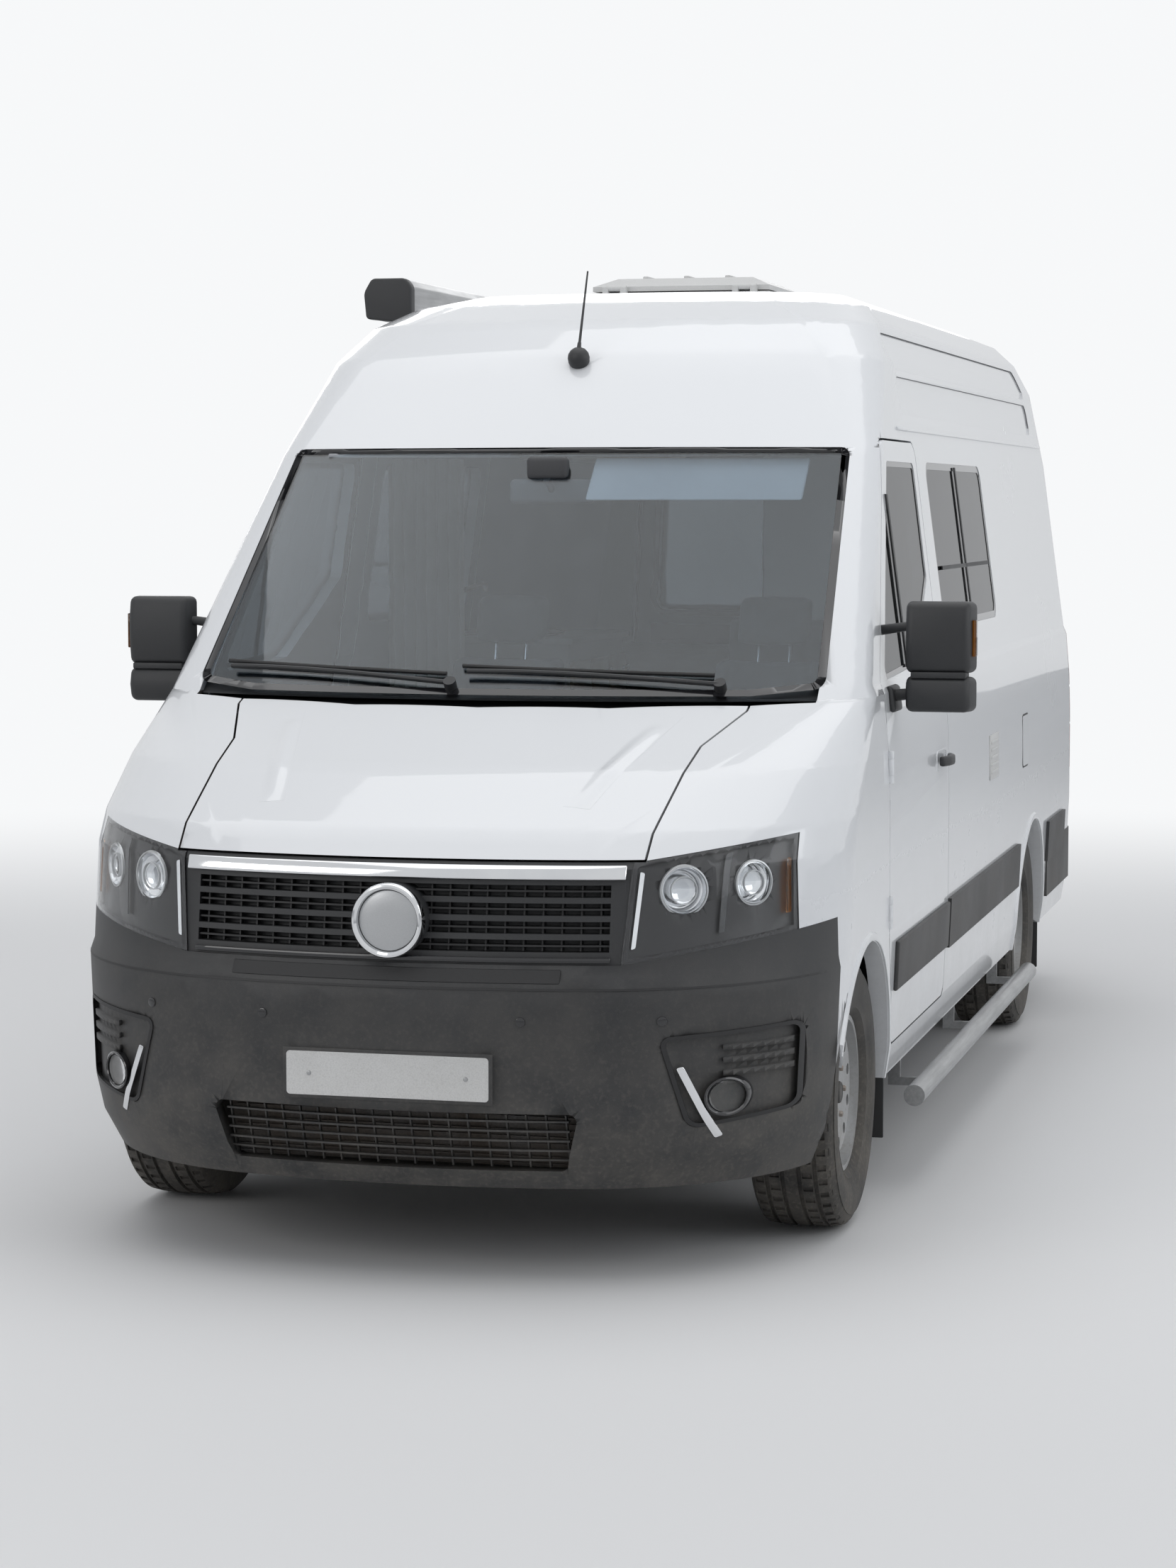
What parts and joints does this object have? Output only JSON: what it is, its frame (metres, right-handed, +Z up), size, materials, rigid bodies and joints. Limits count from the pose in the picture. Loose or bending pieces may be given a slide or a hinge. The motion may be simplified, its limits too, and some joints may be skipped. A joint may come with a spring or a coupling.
{
  "type": "high-roof camper van",
  "caption": "High-roof panel camper van with opening doors, bonnet and roof hatch, steered front wheels, awning case and fitted living space.",
  "frame": {"origin": "centre of the overall box on the ground plane under the tyres", "axes": "+X to the vehicle's left, -Y towards the nose, +Z up"},
  "size_m": [2.48, 5.986, 2.667],
  "materials": {
    "white_paint": "gloss",
    "black_plastic": "textured",
    "dark_steel": "satin",
    "bare_steel": "rough",
    "cast": "rough",
    "tinted_glass": "clear",
    "clear_lens": "clear",
    "lamp_housing": "gloss",
    "red_lens": "gloss",
    "tyre": "matte",
    "wheel_silver": "satin",
    "grey_fabric": "woven",
    "mattress_fabric": "woven",
    "cabinet_board": "satin",
    "pale_plastic": "satin",
    "aluminium": "satin",
    "floor_board": "matte"
  },
  "bodies": {
    "chassis": {"floor_pan": "floor_board", "frame_rails": "dark_steel", "bulkhead": "dark_steel", "engine_block": "cast", "front_subframe": "dark_steel", "front_struts": "dark_steel", "rear_axle": "dark_steel", "exhaust": "bare_steel", "fuel_tank": "black_plastic", "bodyside_left": "white_paint", "bodyside_right": "white_paint", "roof_panel": "white_paint", "front_wings": "white_paint", "cowl": "black_plastic", "windscreen": "tinted_glass", "grille": "black_plastic", "headlamps": "clear_lens", "headlamp_units": "lamp_housing", "front_bumper": "black_plastic", "rear_bumper": "black_plastic", "tail_lamps": "red_lens", "sliding_door": "white_paint", "side_windows": "tinted_glass", "side_strips": "black_plastic", "side_bars": "aluminium", "dashboard": "black_plastic", "seats": "grey_fabric", "living_furniture": "cabinet_board", "mattress": "mattress_fabric", "hatch_frame": "pale_plastic", "awning": "aluminium", "aerial": "black_plastic"},
    "bonnet": {"bonnet": "white_paint"},
    "hatch_lid": {"hatch_lid": "pale_plastic"},
    "steering_wheel": {"steering_wheel": "black_plastic"},
    "cab_door_left": {"cab_door_left": "white_paint", "cab_door_glass_left": "tinted_glass", "mirror_left": "black_plastic"},
    "rear_door_left": {"rear_door_left": "white_paint", "rear_door_glass_left": "tinted_glass"},
    "knuckle_left": {"knuckle_left": "cast"},
    "wheel_front_left": {"wheel_front_left": "wheel_silver", "tyre_front_left": "tyre"},
    "wheel_rear_left": {"wheel_rear_left": "wheel_silver", "tyre_rear_left": "tyre"},
    "cab_door_right": {"cab_door_right": "white_paint", "cab_door_glass_right": "tinted_glass", "mirror_right": "black_plastic"},
    "rear_door_right": {"rear_door_right": "white_paint", "rear_door_glass_right": "tinted_glass"},
    "knuckle_right": {"knuckle_right": "cast"},
    "wheel_front_right": {"wheel_front_right": "wheel_silver", "tyre_front_right": "tyre"},
    "wheel_rear_right": {"wheel_rear_right": "wheel_silver", "tyre_rear_right": "tyre"}
  },
  "joints": [
    {"name": "steer_left", "type": "hinge", "parent": "chassis", "child": "knuckle_left", "pos_m": [0.765, -1.993, 0.215], "axis": [-0.2162, 0, 0.9764], "range_deg": [-35, 35]},
    {"name": "steer_right", "type": "hinge", "parent": "chassis", "child": "knuckle_right", "pos_m": [-0.765, -1.993, 0.215], "axis": [0.2162, 0, 0.9764], "range_deg": [-35, 35]},
    {"name": "steering_wheel_turn", "type": "hinge", "parent": "chassis", "child": "steering_wheel", "pos_m": [0.4, -1.253, 1.22], "axis": [0, 0.6, 0.8], "range_deg": [-525, 525]},
    {"name": "wheel_front_left_spin", "type": "hinge", "parent": "knuckle_left", "child": "wheel_front_left", "pos_m": [0.87, -1.993, 0.356], "axis": [1, 0, 0], "continuous": true},
    {"name": "wheel_front_right_spin", "type": "hinge", "parent": "knuckle_right", "child": "wheel_front_right", "pos_m": [-0.87, -1.993, 0.356], "axis": [1, 0, 0], "continuous": true},
    {"name": "wheel_rear_left_spin", "type": "hinge", "parent": "chassis", "child": "wheel_rear_left", "pos_m": [0.87, 1.647, 0.356], "axis": [1, 0, 0], "continuous": true},
    {"name": "wheel_rear_right_spin", "type": "hinge", "parent": "chassis", "child": "wheel_rear_right", "pos_m": [-0.87, 1.647, 0.356], "axis": [1, 0, 0], "continuous": true},
    {"name": "cab_door_left_hinge", "type": "hinge", "parent": "chassis", "child": "cab_door_left", "pos_m": [1.02, -1.66, 1], "axis": [0, 0, -1], "range_deg": [0, 70]},
    {"name": "rear_door_left_hinge", "type": "hinge", "parent": "chassis", "child": "rear_door_left", "pos_m": [0.8, 2.964, 1.34], "axis": [0, 0, -1], "range_deg": [0, 180]},
    {"name": "cab_door_right_hinge", "type": "hinge", "parent": "chassis", "child": "cab_door_right", "pos_m": [-1.02, -1.66, 1], "axis": [0, 0, 1], "range_deg": [0, 70]},
    {"name": "rear_door_right_hinge", "type": "hinge", "parent": "chassis", "child": "rear_door_right", "pos_m": [-0.8, 2.964, 1.34], "axis": [0, 0, 1], "range_deg": [0, 180]},
    {"name": "bonnet_hinge", "type": "hinge", "parent": "chassis", "child": "bonnet", "pos_m": [0, -2.063, 1.35], "axis": [-1, 0, 0], "range_deg": [0, 50]},
    {"name": "hatch_lid_hinge", "type": "hinge", "parent": "chassis", "child": "hatch_lid", "pos_m": [0, 0.229, 2.63], "axis": [1, 0, 0], "range_deg": [0, 50]}
  ],
  "couplings": [
    {"joint": "steer_right", "follows": "steer_left", "ratio": 1},
    {"joint": "steering_wheel_turn", "follows": "steer_left", "ratio": 15}
  ]
}
